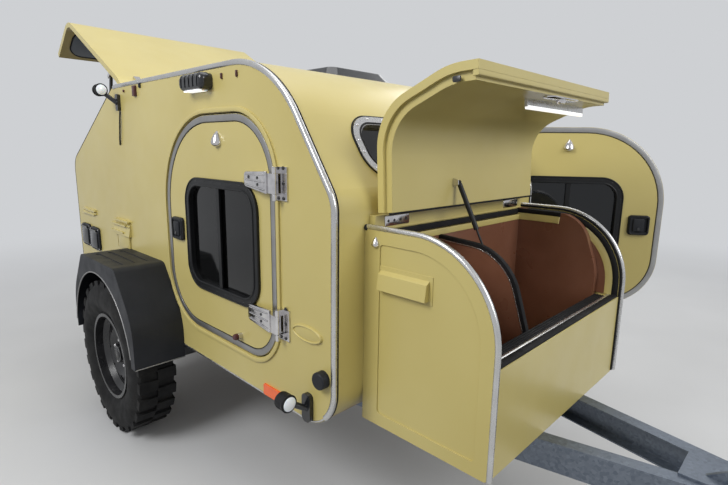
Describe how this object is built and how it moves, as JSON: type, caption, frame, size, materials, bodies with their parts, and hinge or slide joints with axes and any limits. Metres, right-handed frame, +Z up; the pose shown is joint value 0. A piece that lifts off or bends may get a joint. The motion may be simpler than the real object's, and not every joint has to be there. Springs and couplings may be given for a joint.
{
  "type": "teardrop camping trailer with a nose box",
  "caption": "Small teardrop trailer: hollow cabin with side doors, lifting rear hatch over a galley, nose box with a hinged lid, fenders, drawbar with coupling and jockey wheel.",
  "frame": {"origin": "centre of the ball socket in the coupling head", "axes": "+X forward to the towing vehicle, +Y to the trailer's left, +Z up"},
  "size_m": [4.1456, 2.0891, 2.1836],
  "materials": {
    "body_paint": "satin, fine texture",
    "trim_aluminium": "satin",
    "black_plastic": "fine grain",
    "tinted_glass": "dark tint",
    "galvanised_steel": "galvanised",
    "axle_steel": "satin black",
    "chrome": "polished",
    "black_paint": "satin black",
    "tyre_rubber": "matt",
    "black_rubber": "matt",
    "birch_ply": "clear lacquer",
    "box_lining": "smooth",
    "mattress_cloth": "woven",
    "lamp_lens": "clear",
    "orange_lens": "reflector",
    "red_lens": "lamp"
  },
  "bodies": {
    "trailer": {"axle_tube": "axle_steel", "brake_lever": "galvanised_steel", "chassis_frame": "galvanised_steel", "coupling_bellows": "black_rubber", "coupling_head": "galvanised_steel", "coupling_housing": "galvanised_steel", "door_hinge_plates": "chrome", "fenders": "black_plastic", "floor_panel": "birch_ply", "front_panel": "body_paint", "front_window_frame": "trim_aluminium", "front_window_glass": "tinted_glass", "galley_bulkheads": "birch_ply", "galley_shelves": "birch_ply", "galley_worktop": "birch_ply", "jockey_clamp": "galvanised_steel", "jockey_tube": "galvanised_steel", "lamp_housings": "black_plastic", "lamp_lenses": "lamp_lens", "mattress": "mattress_cloth", "nose_box": "body_paint", "nose_box_divider": "box_lining", "nose_box_liner": "box_lining", "rear_panel": "body_paint", "roof_panel": "body_paint", "roof_vent": "black_plastic", "side_fittings": "black_plastic", "side_reflectors": "orange_lens", "side_wall_left": "body_paint", "side_wall_right": "body_paint", "swing_arms": "axle_steel", "tail_lamps": "red_lens", "trailer_fittings": "chrome"},
    "right_road_wheel": {"tyre_right": "tyre_rubber", "wheel_right": "black_paint"},
    "left_road_wheel": {"tyre_left": "tyre_rubber", "wheel_left": "black_paint"},
    "right_door": {"door_right": "body_paint", "window_frame_right": "black_plastic", "window_glass_right": "tinted_glass", "door_latch_right": "black_plastic", "door_fittings_right": "chrome"},
    "left_door": {"door_left": "body_paint", "window_frame_left": "black_plastic", "window_glass_left": "tinted_glass", "door_latch_left": "black_plastic", "door_fittings_left": "chrome"},
    "box_lid": {"nose_box_lid": "body_paint", "lid_fittings": "chrome"},
    "box_strut_foot": {"lid_strut_rod": "chrome"},
    "box_strut_head": {"lid_strut_cylinder": "black_paint"},
    "rear_hatch": {"hatch": "body_paint", "hatch_glass": "tinted_glass", "hatch_fittings": "chrome"},
    "hatch_strut_feet": {"hatch_strut_rods": "chrome"},
    "hatch_strut_heads": {"hatch_strut_cylinders": "black_paint"},
    "jockey_fork": {"jockey_leg": "galvanised_steel"},
    "jockey_roller": {"jockey_wheel": "black_rubber"}
  },
  "joints": [
    {"name": "right_wheel_spin", "type": "hinge", "parent": "trailer", "child": "right_road_wheel", "pos_m": [-2.815, -0.78, -0.075], "axis": [0, 1, 0], "continuous": true},
    {"name": "left_wheel_spin", "type": "hinge", "parent": "trailer", "child": "left_road_wheel", "pos_m": [-2.815, 0.78, -0.075], "axis": [0, 1, 0], "continuous": true},
    {"name": "right_door_swing", "type": "hinge", "parent": "trailer", "child": "right_door", "pos_m": [-1.618, -0.677, 0.045], "axis": [0, 0, 1], "range_deg": [0, 147]},
    {"name": "left_door_swing", "type": "hinge", "parent": "trailer", "child": "left_door", "pos_m": [-1.618, 0.677, 0.045], "axis": [0, 0, 1], "range_deg": [0, 147]},
    {"name": "box_lid_swing", "type": "hinge", "parent": "trailer", "child": "box_lid", "pos_m": [-1.316, 0, 0.775], "axis": [0, 1, 0], "range_deg": [0, 94]},
    {"name": "box_strut_swing", "type": "hinge", "parent": "box_lid", "child": "box_strut_head", "pos_m": [-1.26029, -0.125, 0.86711], "axis": [0, 1, 0], "range_deg": [-106.41, 0]},
    {"name": "box_strut_slide", "type": "slide", "parent": "box_strut_head", "child": "box_strut_foot", "axis": [0.4593, 0, -0.8883], "range_m": [-0.14768, 0]},
    {"name": "hatch_swing", "type": "hinge", "parent": "trailer", "child": "rear_hatch", "pos_m": [-3.05, 0, 1.307], "axis": [0, -1, 0], "range_deg": [0, 56]},
    {"name": "hatch_strut_swing", "type": "hinge", "parent": "rear_hatch", "child": "hatch_strut_heads", "pos_m": [-3.24303, 0, 1.3505], "axis": [0, -1, 0], "range_deg": [-69.42, 0]},
    {"name": "hatch_strut_slide", "type": "slide", "parent": "hatch_strut_heads", "child": "hatch_strut_feet", "axis": [-0.233, 0, -0.9725], "range_m": [-0.15291, 0]},
    {"name": "jockey_swivel", "type": "hinge", "parent": "trailer", "child": "jockey_fork", "pos_m": [-0.3, 0.096, -0.255], "axis": [0, 0, 1], "continuous": true},
    {"name": "jockey_roll", "type": "hinge", "parent": "jockey_fork", "child": "jockey_roller", "pos_m": [-0.338, 0.096, -0.364], "axis": [0, 1, 0], "continuous": true}
  ],
  "couplings": [
    {"joint": "box_strut_swing", "follows": "box_lid_swing", "ratio": -1.131},
    {"joint": "box_strut_slide", "follows": "box_lid_swing", "m_per_rad": -0.089711},
    {"joint": "hatch_strut_swing", "follows": "hatch_swing", "ratio": -1.2378},
    {"joint": "hatch_strut_slide", "follows": "hatch_swing", "m_per_rad": -0.15593}
  ]
}
